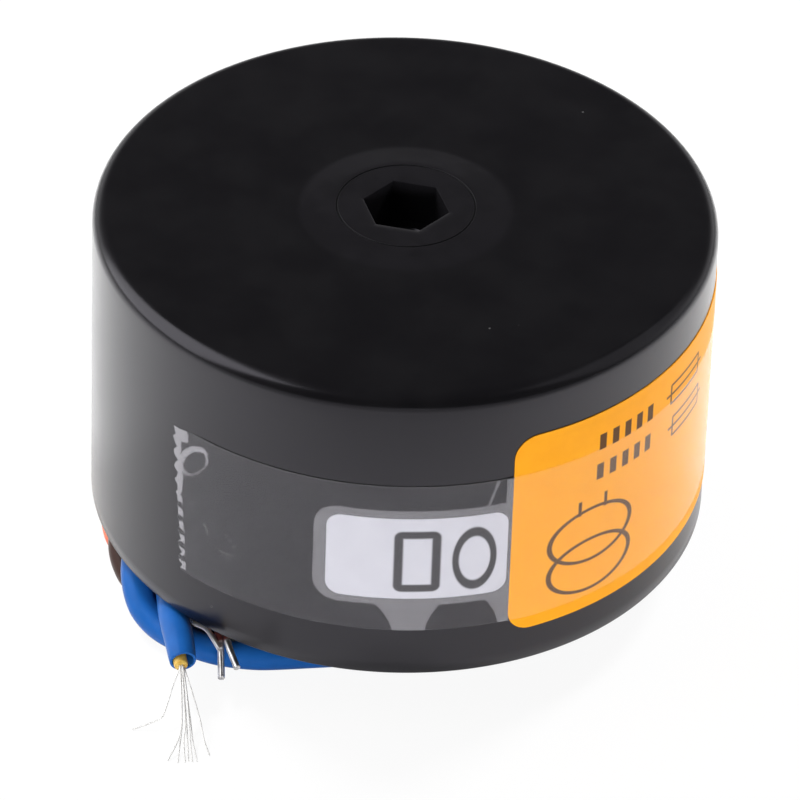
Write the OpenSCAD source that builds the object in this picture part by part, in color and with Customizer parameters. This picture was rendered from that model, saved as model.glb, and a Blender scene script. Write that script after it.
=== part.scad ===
// Encapsulated toroidal transformer: a wound steel ring, potted in a moulded cup
// that stands on its own lead-outs with the closed face up.
// Azimuths are in degrees from the front (-Y), growing towards the right (+X).
// The origin is on the bolt axis, half way up the cup.

/* [Cup] */
// Outside diameter of the cup just under the closed face
case_d = 66; // [62:0.5:70]
// Height of the cup from its rim to its closed face
case_h = 36; // [34:0.5:42]
// How far the wall leans outwards from the closed face to the rim
case_draft = 0.25; // [0:0.05:0.6]
// Thickness of the side wall
wall_t = 1.8; // [1.2:0.1:2.6]
// Thickness of the closed face
face_t = 2; // [1.5:0.1:3]
// Rounding round the edge of the closed face
edge_r = 1.6; // [0.5:0.1:1.8]
// Chamfer round the outside of the rim
rim_chamfer = 0.3; // [0.1:0.1:0.8]

/* [Bolt hole] */
// Clearance hole for the mounting bolt
bolt_d = 5.5; // [4.5:0.1:6.5]
// Hexagonal pocket for the bolt head or nut, across its flats
hex_af = 8; // [7:0.1:10]
// Depth of the hexagonal pocket
hex_depth = 5; // [3:0.5:8]
// Angle of one corner of the pocket from the right
hex_turn = -12; // [-30:1:30]
// Outside diameter of the column round the bolt, at the closed face
column_d = 14.6; // [13.5:0.1:16]
// How much thinner the column is at the rim
column_draft = 0.5; // [0:0.1:1]
// Flat top of the raised boss
boss_d = 15; // [13.5:0.5:18]
// Foot of the raised boss
boss_foot_d = 22.4; // [19:0.1:28]
// Height of the raised boss
boss_h = 0.4; // [0.2:0.1:1]

/* [Winding] */
// Inside diameter of the steel ring
core_id = 34; // [33:0.5:36]
// Outside diameter of the steel ring
core_od = 48; // [44:0.5:50]
// Height of the steel ring
core_h = 14; // [10:0.5:15]
// Rounding of the ring's edges
core_edge_r = 0.8; // [0.3:0.1:2]
// Insulation on the bare ring
core_insulation_t = 0.5; // [0.2:0.1:0.8]
// Build of the primary winding at the outside of the ring
primary_t = 1.8; // [1:0.1:2]
// Insulation between the windings
interwinding_t = 0.5; // [0.2:0.1:0.8]
// Build of the secondary winding at the outside of the ring
secondary_t = 1.3; // [0.8:0.1:1.4]
// Tape round the finished winding
outer_wrap_t = 0.4; // [0.2:0.1:0.8]
// How far the resin stays below the rim
resin_recess = 2; // [1:0.1:2.4]

/* [Leads] */
// Outside diameter of a primary lead's sleeve
primary_lead_d = 3.2; // [2.6:0.1:3.2]
// Bore of a primary lead's sleeve
sleeve_bore = 2.2; // [1.8:0.1:2.4]
// Insulated wire inside a primary lead's sleeve
inner_wire_d = 1.5; // [1.2:0.1:1.7]
// How far that wire comes out of its sleeve
inner_wire_out = 0.7; // [0.4:0.1:1.5]
// Outside diameter of a secondary lead's sleeve
secondary_lead_d = 1.9; // [1.5:0.1:1.9]
// Wire of the secondary winding, where it leaves its sleeve
secondary_wire_d = 0.75; // [0.5:0.05:0.75]
// Tinned bundle at the end of the brown lead
tinned_d = 0.6; // [0.4:0.05:0.6]
// One bare strand of the blue lead
strand_d = 0.14; // [0.1:0.01:0.16]
// Sleeve over the joint of a primary lead
splice_d = 3.4; // [3.2:0.1:3.4]
// Length of that sleeve
splice_l = 8; // [6:0.5:10]

/* [Labels and tape] */
// Thickness of a label
label_t = 0.1; // [0.06:0.01:0.16]
// Left edge of the rating label, as an azimuth
rating_az = 21.3; // [15:0.1:30]
// Length of the rating label round the wall
rating_l = 57; // [45:0.5:70]
// Height of the rating label
rating_h = 25.4; // [20:0.1:28]
// Lower edge of the rating label above the rim
rating_low = 4.4; // [1:0.1:5]
// Corner radius of the rating label
rating_corner = 2.6; // [1:0.1:4]
// Length of the small label round the wall
small_l = 18.9; // [12:0.1:22]
// Height of the small label
small_h = 10.5; // [8:0.1:13]
// Lower edge of the small label above the rim
small_low = 10.3; // [8:0.1:11]
// Corner radius of the small label
small_corner = 1.6; // [0.5:0.1:3]
// Gap between the two labels
label_gap = 0.4; // [0.2:0.1:1]
// Thickness of the tape
tape_t = 0.06; // [0.04:0.01:0.1]
// Width of the tape
tape_w = 19; // [18.8:0.1:20]
// Lower edge of the tape above the rim
tape_low = 6; // [5.4:0.1:6.4]
// Left end of the tape, as an azimuth
tape_az = -43; // [-60:1:-35]
// Length of the tape round the wall
tape_l = 87; // [70:1:110]
// How far the tape bridges beyond a label's edge before it meets the wall
tape_bridge = 1.2; // [0.4:0.1:1.6]
// Height of the teeth along the torn end of the tape
tooth_l = 0.7; // [0.3:0.1:1.2]
// Number of those teeth
teeth = 11; // [6:1:20]
// Rounding of the tape's corners
tape_corner = 0.2; // [0.1:0.1:1]

/* [Hidden] */
$fn = 96;

// Overlap of a cutting shape past the face that it cuts
past = 1;
// Depth of a cut through a sheet on the wall, from inside the wall outwards
cut_depth = 5;
rim_z = -case_h / 2;
face_z = case_h / 2;
floor_z = face_z - face_t;
resin_z = rim_z + resin_recess;
boss_z = face_z + boss_h;
hex_floor_z = boss_z - hex_depth;
case_r = case_d / 2;
shoulder_z = face_z - edge_r;

// Outside radius of the cup's wall, radius of its cavity and radius of its column, at a height
function wall_r(z) = case_r + case_draft * (shoulder_z - z) / (shoulder_z - rim_z);
function cavity_r(z) = wall_r(z) - wall_t;
function column_r(z) = (column_d - column_draft * (floor_z - z) / (floor_z - rim_z)) / 2;

// A layer round the ring is [inside radius, outside radius, height, edge radius].
// Tape adds the same everywhere. A winding has as much copper inside the ring as outside,
// so it builds up more there, and half way between on the two ends.
function wrapped(ring, t) = [ring[0] - t, ring[1] + t, ring[2] + 2 * t, ring[3] + t];
function wound(ring, t) =
    let (outside = ring[1] + t)
    let (inside = sqrt(ring[0] * ring[0] - outside * outside + ring[1] * ring[1]))
    [inside, outside, ring[2] + t + ring[0] - inside, ring[3] + t];
bare_ring = [core_id / 2, core_od / 2, core_h, core_edge_r];
insulated_ring = wrapped(bare_ring, core_insulation_t);
primary_ring = wound(insulated_ring, primary_t);
parted_ring = wrapped(primary_ring, interwinding_t);
secondary_ring = wound(parted_ring, secondary_t);
finished_ring = wrapped(secondary_ring, outer_wrap_t);
ring_z = floor_z - finished_ring[2] / 2;
winding_room = floor_z - finished_ring[2] - rim_z;

// Routes of the leads: [azimuth, distance inside the cup's wall, drop below the rim]
blue_route = [
    [-112, 13, -4.3], [-104, 11.6, -3.8], [-96, 10, -2.8], [-89, 8.5, -1.7], [-82, 7, -0.8],
    [-75, 5.4, 0.1], [-70, 4, 0.8], [-65, 2.6, 1.5], [-60, 1.2, 2.5], [-55, 0.5, 4.1], [-50, 0.8, 5.1],
    [-44, 1.5, 5.2], [-37, 2.6, 5.2], [-29, 4.6, 5.2], [-19, 7.4, 5.2], [-3, 9.8, 5.2], [20, 10, 5.1],
    [45, 8.8, 3.8], [70, 6.6, 2.1], [95, 4.4, 1.75], [120, 3.6, 1.75], [145, 3.6, 1.75],
    [170, 3.6, 1.75], [195, 4, 1.8], [220, 6.2, 2.4], [245, 8, 2.9], [270, 8.4, 3.1], [285, 7.6, 3],
    [294, 6.3, 2.7], [303, 4.2, 1.8], [309, 2.6, 1.7], [313, 1.1, 1.7], [319.5, -1.5, 2],
    [323.6, -3.7, 2.4]];
brown_route = [
    [-134, 8.4, -4.3], [-126, 8.2, -3.6], [-118, 7.8, -2.6], [-110, 7.1, -1.7], [-103, 6.4, -0.9],
    [-96, 5.6, -0.1], [-89, 4.7, 0.7], [-82, 3.7, 1.7], [-76, 2.8, 2.6], [-71, 2.1, 3.7],
    [-66, 2.2, 4.9], [-61, 3, 5.2], [-55, 4, 5.2], [-48, 5, 5.2], [-40, 6.1, 5.2], [-30, 8.3, 5.2],
    [-19, 11.2, 5.2], [-3, 13.3, 5.2], [20, 13.4, 5.2], [45, 12.4, 5.2], [70, 8.8, 5.2],
    [95, 4.8, 5.2], [120, 3.6, 5.2], [145, 3.6, 5.2], [170, 3.8, 5.2], [195, 4.8, 5.2],
    [220, 8.2, 5.2], [245, 10.8, 5.2], [270, 11.6, 5.1], [285, 11.2, 3.9], [298, 9.4, 2.1],
    [306, 7.6, 1.7], [313, 5.3, 1.7]];
orange_route = [
    [-140, 5.6, -4], [-132, 5.6, -3.3], [-124, 5.5, -2.2], [-116, 5.2, -1], [-107, 4.6, 0.4],
    [-98, 3.6, 1.7], [-90, 2.5, 2.7], [-84, 1.8, 3.6], [-79, 1.8, 4.8], [-74, 2.9, 5.8],
    [-69, 4.8, 5.85], [-63, 6, 5.85], [-55, 7.4, 5.85], [-40, 9.4, 5.85], [-30, 11.7, 5.85],
    [-19, 14.6, 5.85], [-3, 16.4, 5.85], [20, 16.4, 5.85], [45, 15.4, 5.85], [70, 11.8, 5.85],
    [95, 7.7, 5.85], [120, 6.3, 5.85], [145, 6.3, 5.85], [170, 6.5, 5.85], [195, 7.7, 5.85],
    [220, 11.2, 5.85], [245, 13.8, 5.85], [270, 14.4, 5.85], [290, 13.4, 5.3], [303, 11, 3.5],
    [312, 9.1, 2.7], [317, 7, 2.5], [319.7, 4.4, 2.5]];
yellow_route = [
    [-152, 3.7, -4], [-144, 3.7, -3.1], [-136, 3.7, -1.8], [-127, 3.7, -0.2], [-118, 3.4, 1.4],
    [-108, 2.8, 3.2], [-98, 2, 4.6], [-91, 1.7, 5.4], [-85, 2.4, 5.85], [-79, 4, 5.85],
    [-72, 6.2, 5.85], [-65, 8.2, 5.85], [-55, 10.2, 5.85], [-40, 12.2, 5.85], [-30, 14.5, 5.85],
    [-19, 17.2, 5.85], [-3, 18.9, 5.85], [20, 18.9, 5.85], [45, 17.9, 5.85], [70, 14.6, 5.85],
    [95, 10.4, 5.85], [120, 8.5, 5.85], [145, 8.5, 5.85], [170, 8.7, 5.85], [195, 10.2, 5.85],
    [220, 13.8, 5.85], [245, 16.2, 5.85], [270, 16.8, 5.85], [290, 15.6, 5.3], [308, 13, 3.6],
    [317, 10.5, 2.4], [321, 8, 2.3], [323.5, 5.3, 2.3]];
// Bare ends of the wires: each starts at the end of its sleeve
brown_end = [[315, 3.5, 2.1], [317.4, 1.9, 2.5], [320.3, 1.6, 2.6], [326, 0.1, 2.5]];
orange_end = [[322.5, 2.8, 2.7], [325.6, 1.2, 3], [329.4, -1.8, 4.2]];
yellow_end = [[324.8, 3.8, 2.2], [326.2, 1.8, 2.1], [331.6, -0.8, 2.9]];
// Strands of the blue lead: where each leaves the end of its wire as [right, up],
// then its points from the middle of that end as [right, forwards, down]
strand_starts = [[-0.26, 0], [-0.18, 0.18], [-0.1, -0.14], [0, 0.08], [0.1, -0.12], [0.08, 0.24],
    [0.2, 0.06], [0.34, -0.12]];
strand_ends = [
    [[-0.8, 1.9, 1.2], [-1.5, 4.2, 2.7], [-2.2, 4.8, 3.4], [-4.8, 5.4, 4.3]],
    [[0.15, 2.9, 1.05], [0.35, 6, 2.75], [0.1, 7.9, 3.4], [-0.85, 10.7, 4.3]],
    [[0.2, 2.9, 1.35], [0.4, 6, 3.05], [0.3, 8, 3.7], [0.2, 11.1, 4.3]],
    [[0.4, 2.9, 1.1], [0.75, 6, 2.8], [0.7, 8, 3.5], [0.95, 11, 4.3]],
    [[0.5, 2.9, 1.4], [0.9, 6, 3.1], [1.1, 8, 3.75], [1.3, 10.7, 4.3]],
    [[0.7, 2.9, 0.95], [1.15, 6, 2.7], [1.35, 7.8, 3.4], [1.7, 10.8, 4.3]],
    [[0.75, 2.9, 1.2], [1.35, 6, 2.95], [1.65, 7.9, 3.6], [2.2, 10.7, 4.3]],
    [[1.3, 2.8, 1.1], [2.3, 5.6, 2.6], [2.8, 7.6, 3.5], [3.45, 9.7, 4.3]]];
// How far a bare wire or strand runs straight on out of its sleeve
straight_out = 0.4;
// Sides of a lead's tube, and of a thin wire's
lead_sides = 8;
wire_sides = 6;
// How far round from a label's end the direction lies that its corners are cut from
end_lean = 25;
// Room between the rim and the winding that the routes are drawn for
drawn_room = 7.91;
// Rings of a lead that lie in the resin or just outside it
tail_rings = 11;
// How far a primary lead's cut in the resin runs into its joint's cut
tail_sunk = 0.5;
// How far the resin stops short of the thin wedge round the winding's seat
wedge = 1;
// Depth of the open mouth of a primary lead's sleeve
mouth_depth = 2.4;
// Room left between the wire and the wall of its sleeve
wire_room = 0.05;
// How far off the middle the wire lies in its sleeve, to the left of the way out
wire_lean = (sleeve_bore - inner_wire_d) / 2 - wire_room;

// The start of a lead, in the resin, keeps its share of the room under the winding
function route_z(drop) = rim_z - drop * (drop < 0 ? winding_room / drawn_room : 1);
function route_point(p) =
    let (r = case_r - p[1])
    [r * sin(p[0]), -r * cos(p[0]), route_z(p[2])];
// A route with a point put in half way along each of its steps, on a smooth curve
function half_way(before, a, b, after) = (9 * (a + b) - before - after) / 16;
function finer(route) =
    let (last = len(route) - 1)
    [for (i = [0:last])
        each i == last ? [route[i]] : [route[i], half_way(
            i == 0 ? 2 * route[0] - route[1] : route[i - 1], route[i], route[i + 1],
            i + 1 == last ? 2 * route[last] - route[last - 1] : route[i + 2])]];
function route_points(route) = [for (p = finer(route)) route_point(p)];
function unit(v) = v / norm(v);
// Direction of a route at one of its points
function along(pts, i) = unit(pts[min(i + 1, len(pts) - 1)] - pts[max(i - 1, 0)]);
function across(t) = unit(cross(t, [0, 0, 1]));
function ring_points(p, t, r, sides) =
    let (a = across(t), b = cross(a, t))
    [for (k = [0:sides - 1])
        let (turn = 360 * k / sides)
        p + r * (cos(turn) * a + sin(turn) * b)];
function tube_points(pts, r, sides) =
    [for (i = [0:len(pts) - 1]) each ring_points(pts[i], along(pts, i), r, sides)];
function tube_faces(rings, sides) = concat(
    [[for (k = [sides - 1:-1:0]) k]],
    [for (i = [0:rings - 2], k = [0:sides - 1])
        let (a = i * sides, n = (k + 1) % sides)
        [a + k, a + n, a + sides + n, a + sides + k]],
    [[for (k = [0:sides - 1]) (rings - 1) * sides + k]]);

module tube(pts, d, sides) {
    polyhedron(tube_points(pts, d / 2, sides), tube_faces(len(pts), sides), convexity = 8);
}

// Stands its children on a point, with +Z along a direction and +X level
module aimed(p, t) {
    a = across(t);
    b = cross(t, a);
    multmatrix([[a[0], b[0], t[0], p[0]], [a[1], b[1], t[1], p[1]], [a[2], b[2], t[2], p[2]]])
        children();
}

// A rectangle with round corners, from its lower left corner
module rounded(x, y, w, h, r) {
    translate([x + r, y]) square([w - 2 * r, h]);
    translate([x, y + r]) square([w, h - 2 * r]);
    for (cx = [x + r, x + w - r], cy = [y + r, y + h - r])
        translate([cx, cy]) circle(r);
}

// Section of a layer round the ring
module ring_section(ring) {
    rounded(ring[0], -ring[2] / 2, ring[1] - ring[0], ring[2], ring[3]);
}

module ring_solid(ring) {
    translate([0, 0, ring_z]) rotate_extrude() ring_section(ring);
}

// Room above the flat end of a layer that is seated on the closed face
module ring_seat(ring) {
    inset = ring[3] - wedge;
    rotate_extrude() translate([ring[0] + inset, ring_z])
        square([ring[1] - ring[0] - 2 * inset, floor_z - ring_z + past]);
}

module ring_layer(outer, inner) {
    translate([0, 0, ring_z]) rotate_extrude() difference() {
        ring_section(outer);
        ring_section(inner);
    }
}

// Cavity between the wall and the column, from one height to another
module cavity(low, high) {
    rotate_extrude() polygon([
        [column_r(low), low], [cavity_r(low), low],
        [cavity_r(high), high], [column_r(high), high]]);
}

module housing() color("#2a2a2d") difference() {
    rotate_extrude() union() {
        polygon([
            [0, rim_z], [wall_r(rim_z) - rim_chamfer, rim_z],
            [wall_r(rim_z + rim_chamfer), rim_z + rim_chamfer], [case_r, shoulder_z],
            [case_r - edge_r, shoulder_z], [case_r - edge_r, face_z],
            [boss_foot_d / 2, face_z], [boss_d / 2, boss_z], [0, boss_z]]);
        translate([case_r - edge_r, shoulder_z]) intersection() {
            circle(edge_r);
            square(edge_r);
        }
    }
    cavity(rim_z - past, floor_z);
    translate([0, 0, rim_z - past]) cylinder(d = bolt_d, h = case_h + boss_h + 2 * past);
    translate([0, 0, hex_floor_z]) rotate([0, 0, hex_turn])
        cylinder(d = hex_af / cos(30), h = hex_depth + past, $fn = 6);
}

module lead_tail(route, d, sunk) {
    pts = route_points(route);
    start = sunk > 0 ? [pts[0] - sunk * along(pts, 0)] : [];
    tube(concat(start, [for (i = [0:tail_rings - 1]) pts[i]]), d, lead_sides);
}

module potting_compound() color("#1c1d20") difference() {
    cavity(resin_z, floor_z);
    ring_solid(finished_ring);
    ring_seat(finished_ring);
    lead_tail(blue_route, primary_lead_d, tail_sunk);
    lead_tail(brown_route, primary_lead_d, tail_sunk);
    lead_tail(orange_route, secondary_lead_d, 0);
    lead_tail(yellow_route, secondary_lead_d, 0);
    splice(blue_route);
    splice(brown_route);
}

module core() color("#7d8288") ring_solid(bare_ring);

module core_insulation() color("#d9cfa8") ring_layer(insulated_ring, bare_ring);

module primary_winding() color("#8c3b1f") ring_layer(primary_ring, insulated_ring);

module interwinding_insulation() color("#e0c95a") ring_layer(parted_ring, primary_ring);

module secondary_winding() color("#a5502a") ring_layer(secondary_ring, parted_ring);

module outer_wrap() color("#d8b93c") ring_layer(finished_ring, secondary_ring);

// Sleeved joint at the inner end of a primary lead
module splice(route) {
    pts = route_points(route);
    aimed(pts[0], -along(pts, 0)) cylinder(d = splice_d, h = splice_l);
}

module blue_splice() color("#303236") splice(blue_route);

module brown_splice() color("#303236") splice(brown_route);

module primary_lead(route) {
    pts = route_points(route);
    last = len(pts) - 1;
    difference() {
        tube(pts, primary_lead_d, lead_sides);
        aimed(pts[last], along(pts, last)) translate([0, 0, -mouth_depth])
            cylinder(d = sleeve_bore, h = mouth_depth + past);
    }
}

// Insulated wire that leans on the wall of its sleeve's mouth
module inner_wire(route) {
    pts = route_points(route);
    last = len(pts) - 1;
    aimed(pts[last], along(pts, last)) translate([wire_lean, 0, -mouth_depth])
        cylinder(d = inner_wire_d, h = mouth_depth + inner_wire_out);
}

// End of that wire, in the middle of its face
function wire_tip(route) =
    let (pts = route_points(route))
    let (t = along(pts, len(pts) - 1))
    pts[len(pts) - 1] + wire_lean * across(t) + inner_wire_out * t;

module blue_lead() color("#2f6fcf") primary_lead(blue_route);

module blue_core() color("#e0b654") inner_wire(blue_route);

module blue_strands() color("#b9b9b6") {
    pts = route_points(blue_route);
    tip = wire_tip(blue_route);
    t = along(pts, len(pts) - 1);
    left = across(t);
    up = cross(left, t);
    for (i = [0:len(strand_starts) - 1]) {
        start = tip - strand_starts[i][0] * left + strand_starts[i][1] * up;
        tube(concat([start, start + straight_out * t],
            [for (e = strand_ends[i]) tip + [e[0], -e[1], -e[2]]]), strand_d, wire_sides);
    }
}

module brown_lead() color("#4a3730") primary_lead(brown_route);

module brown_core() color("#e0b654") inner_wire(brown_route);

module brown_conductor() color("#c9c9c6") bare_end(brown_route, wire_tip(brown_route), brown_end, tinned_d);

// A bare wire from a point at the mouth of its sleeve
module bare_end(route, start, end, d) {
    pts = route_points(route);
    t = along(pts, len(pts) - 1);
    tube(concat([start, start + straight_out * t], [for (p = end) route_point(p)]), d, wire_sides);
}

function sleeve_tip(route) = route_point(route[len(route) - 1]);

module orange_lead() color("#dd6a45") tube(route_points(orange_route), secondary_lead_d, lead_sides);

module orange_conductor() color("#c9c9c6")
    bare_end(orange_route, sleeve_tip(orange_route), orange_end, secondary_wire_d);

module yellow_lead() color("#e3c04a") tube(route_points(yellow_route), secondary_lead_d, lead_sides);

module yellow_conductor() color("#c9c9c6")
    bare_end(yellow_route, sleeve_tip(yellow_route), yellow_end, secondary_wire_d);

// Angle that a length round the wall takes up
function arc_of(l) = l / case_r * 180 / PI;

small_az = rating_az - arc_of(label_gap + small_l);

// A sheet between two heights off the wall, from one azimuth and height to another,
// its corners rounded
module wall_sheet(az, l, low, h, from, to, corner) {
    difference() {
        wall_band(az, l, low, h, from, to);
        for (right = [0, 1], top = [0, 1])
            rotate([0, 0, az - 90 + right * arc_of(l)])
                translate([case_r - 2 * past, 0, rim_z + low + top * h])
                mirror([0, right, 0]) mirror([0, 0, top])
                corner_cut(corner);
    }
}

module wall_band(az, l, low, h, from, to) {
    z0 = rim_z + low;
    z1 = z0 + h;
    rotate([0, 0, az - 90]) rotate_extrude(angle = arc_of(l)) polygon([
        [wall_r(z0) + from, z0], [wall_r(z0) + to, z0], [wall_r(z1) + to, z1], [wall_r(z1) + from, z1]]);
}

// What is cut away outside a rounded corner, along the radius
module corner_cut(corner) {
    rotate([90, 0, 90]) linear_extrude(cut_depth) difference() {
        translate([-past, -past]) square(corner + past);
        translate([corner, corner]) circle(corner);
    }
}

// The rating label's two ends are each cut straight through from a direction near that end
module rating_label_sheet(grow, from, to) {
    margin = grow + past;
    intersection() {
        wall_band(rating_az - arc_of(margin), rating_l + 2 * margin,
            rating_low - margin, rating_h + 2 * margin, from, to);
        label_end(rating_az, 1, grow);
        label_end(rating_az + arc_of(rating_l), -1, grow);
    }
}

// All that lies to one side of an end of the rating label, its near corners rounded
module label_end(az, side, grow) {
    rotate([0, 0, az + side * end_lean]) rotate([90, 0, 0]) linear_extrude(case_d)
        mirror([side == 1 ? 0 : 1, 0, 0])
        rounded(-case_r * sin(end_lean) - grow, rim_z + rating_low - grow,
            case_d, rating_h + 2 * grow, rating_corner + grow);
}

// The small label spans so little of the wall that its outline is cut straight through from the front
module small_label_sheet(from, to) {
    w = case_d * sin(arc_of(small_l) / 2);
    intersection() {
        wall_band(small_az - arc_of(past), small_l + 2 * past,
            small_low - past, small_h + 2 * past, from, to);
        rotate([0, 0, small_az + arc_of(small_l) / 2]) rotate([90, 0, 0]) linear_extrude(case_d)
            rounded(-w / 2, rim_z + small_low, w, small_h, small_corner);
    }
}

module rating_label() color("#f5a52e") rating_label_sheet(0, 0, label_t);

module small_label() color("#dcdbe4") small_label_sheet(0, label_t);

// The part of the wall that the tape covers, its left end toothed
module tape_field(t) {
    pitch = tape_w / teeth;
    difference() {
        wall_sheet(tape_az, tape_l, tape_low, tape_w, 0, t, tape_corner);
        rotate([0, 0, tape_az - 90]) translate([case_r - 2 * past, 0, rim_z + tape_low])
            rotate([90, 0, 90]) linear_extrude(cut_depth) polygon(concat(
                [[-past, tape_w + past], [-past, -past], [0, -past]],
                [for (i = [0:teeth - 1]) each [[0, i * pitch], [tooth_l, (i + 0.5) * pitch]]],
                [[0, tape_w], [0, tape_w + past]]));
    }
}

// Where the tape is lifted off the wall by the labels: two sheets of unlike thickness,
// so that none of their faces lie on each other
module lifted() {
    rating_label_sheet(tape_bridge, -past, 2 * past);
    wall_sheet(small_az - arc_of(tape_bridge), small_l + label_gap + small_corner + 2 * tape_bridge,
        small_low - tape_bridge, small_h + 2 * tape_bridge, -past / 2, 3 * past / 2,
        small_corner + tape_bridge);
}

// The tape lies on the wall, and on the labels where it crosses them
module clear_tape() color("#b8b8bc", 0.5) difference() {
    tape_field(label_t + tape_t);
    difference() {
        wall_band(tape_az - arc_of(past), tape_l + 2 * past,
            tape_low - past, tape_w + 2 * past, tape_t, past);
        lifted();
    }
    rating_label_sheet(0, -past, label_t);
    small_label_sheet(-past, label_t);
}

housing();
potting_compound();
core();
core_insulation();
primary_winding();
interwinding_insulation();
secondary_winding();
outer_wrap();
blue_splice();
brown_splice();
blue_lead();
blue_core();
blue_strands();
brown_lead();
brown_core();
brown_conductor();
orange_lead();
orange_conductor();
yellow_lead();
yellow_conductor();
rating_label();
small_label();
clear_tape();
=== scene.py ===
"""Looks of the encapsulated toroidal transformer: its moulded cup, labels, tape and flying leads.

Lengths are in millimetres, and azimuths in degrees from the front, growing to the right.
"""
import math
from functools import reduce

import bmesh
import bpy
import numpy as np
from mathutils import Matrix, Vector


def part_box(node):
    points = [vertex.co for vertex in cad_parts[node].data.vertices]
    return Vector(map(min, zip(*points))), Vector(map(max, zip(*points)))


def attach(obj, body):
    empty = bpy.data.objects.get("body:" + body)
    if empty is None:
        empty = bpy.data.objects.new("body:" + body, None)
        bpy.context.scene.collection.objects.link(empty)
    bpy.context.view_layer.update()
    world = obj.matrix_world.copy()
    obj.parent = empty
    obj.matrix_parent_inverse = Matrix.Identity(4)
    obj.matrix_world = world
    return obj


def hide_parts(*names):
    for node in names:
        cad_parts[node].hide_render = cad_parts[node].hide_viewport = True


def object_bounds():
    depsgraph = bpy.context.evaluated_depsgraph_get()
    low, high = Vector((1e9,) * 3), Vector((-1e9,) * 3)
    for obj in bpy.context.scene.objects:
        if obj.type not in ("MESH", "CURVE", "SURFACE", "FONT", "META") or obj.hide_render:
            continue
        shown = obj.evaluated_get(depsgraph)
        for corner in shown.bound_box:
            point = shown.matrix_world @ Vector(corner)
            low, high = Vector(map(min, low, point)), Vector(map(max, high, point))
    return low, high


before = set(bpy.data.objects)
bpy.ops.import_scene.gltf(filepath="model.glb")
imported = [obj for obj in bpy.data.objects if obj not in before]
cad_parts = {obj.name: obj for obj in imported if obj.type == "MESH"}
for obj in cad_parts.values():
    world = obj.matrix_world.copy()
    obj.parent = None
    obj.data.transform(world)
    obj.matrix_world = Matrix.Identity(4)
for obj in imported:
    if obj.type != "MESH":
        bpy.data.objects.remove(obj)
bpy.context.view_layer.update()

MM = 0.001
BODY = "root"

# Camera, as it stood to the cup
EYE_DISTANCE = 625
EYE_ELEVATION = 37.3
EYE_ROLL = 2.02
EYE_AIM = (0.08, -3.6, -4.73)
LENS = 262.5
SENSOR = 36

# Cup, from the frame where it gives the size
CUP_LOW, CUP_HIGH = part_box("housing")
RIM_Z = CUP_LOW.z / MM
RIM_R = CUP_HIGH.x / MM
BOSS_Z = CUP_HIGH.z / MM
CASE_R = 33
WALL_T = 1.8
FACE_T = 2
EDGE_R = 1.6
RIM_CHAMFER = 0.3
ARRIS = 0.2
BOSS_H = 0.4
BOSS_TOP_R = 7.5
BOSS_FOOT_R = 11.2
BOSS_BLEND = 0.3
BOSS_LINE_R = 7.3
BOSS_LINE_W = 0.22
BOSS_LINE_DEPTH = 0.1
BOLT_R = 2.75
HEX_FLATS = 8
HEX_DEPTH = 5
HEX_TURN = -12
# Lip and foot of the pocket: [distance out from a flat, height over the boss or the pocket's floor]
HEX_LIP = [[0.9, 0], [0.12, 0], [0.03, -0.04], [0, -0.12]]
HEX_FOOT = [[-0.04, 0.15], [-0.15, 0]]
COLUMN_R = 7.3
COLUMN_FOOT_R = 7.05
FACE_Z = BOSS_Z - BOSS_H
CEILING_Z = FACE_Z - FACE_T
SHOULDER_Z = FACE_Z - EDGE_R
CUP_STEPS = 360

# Labels and tape, as lengths round the wall and heights above the rim
LABEL_T = 0.1
LABEL_ROWS = 25
LABEL_COLUMNS_PER_MM = 2
LABEL_BEND_COLUMNS = 10
RATING_AZ = 21.3
RATING_L = 57
RATING_H = 25.4
RATING_LOW = 4.4
RATING_CORNER = 2.6
SMALL_L = 18.9
SMALL_H = 10.5
SMALL_LOW = 10.3
SMALL_CORNER = 1.6
LABEL_GAP = 0.4
SMALL_AZ = RATING_AZ - math.degrees((LABEL_GAP + SMALL_L) / CASE_R)
TAPE_T = 0.06
TAPE_AZ = -43
TAPE_L = 87
TAPE_W = 19
TAPE_LOW = 6
TAPE_BRIDGE = 1.2
TAPE_AIR = 0.004
TAPE_ROWS = 127
TAPE_COLUMNS = 236
TAPE_CROWDING = 1.15
# Left edges of the two labels in the tape's own lay
SMALL_LEFT = math.radians(SMALL_AZ - TAPE_AZ) * CASE_R
RATING_LEFT = math.radians(RATING_AZ - TAPE_AZ) * CASE_R
# Torn end of the tape: its teeth, where it starts and how far it leans, and the droop of its corner
TOOTH_L = 0.7
TEETH = 11
TORN_AT = 0.45
TORN_LEAN = 1.2
DROOP = 0.025
DROOP_L = 4
# Short scuffs on the tape: [left, low, width, height] in its own lay
SCUFFS = [
    [5.6, 5.4, 2, 0.12], [5.9, 4.8, 1.3, 0.12], [6.3, 7.7, 0.4, 0.25], [6.8, 7.2, 0.4, 0.25],
    [7.2, 6.6, 0.4, 0.25], [3.5, 7.6, 0.4, 0.3], [4, 6.7, 0.14, 0.9], [1.5, 9.6, 0.7, 0.14]]

# Print on the orange label, in its own lay: ovals as [centre, half width, half height],
# and low left corners of the fuses and of the first block in each row
WINDING_SIGNS = [[(9.7, 9.8), 5.3, 3.4], [(9.75, 5.8), 5.3, 3.35]]
WINDING_LINE = 0.5
TAIL_SIGNS = [7.75, 11.1]
TAIL_LOW = 12.7
TAIL_W = 0.42
TAIL_H = 1.9
FUSE_SIGNS = [(21.4, 20.3), (22, 15.8)]
FUSE_L = 6.5
FUSE_H = 2.4
FUSE_TAIL = 0.9
FUSE_LINE = 0.3
BLOCK_ROWS = [(10.1, 20.5), (9.9, 16.7)]
BLOCK_COUNT = 5
BLOCK_PITCH = 1.75
BLOCK_W = 0.9
BLOCK_H = 2
# Print on the white label
MARK_LINE = 0.95

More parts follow.
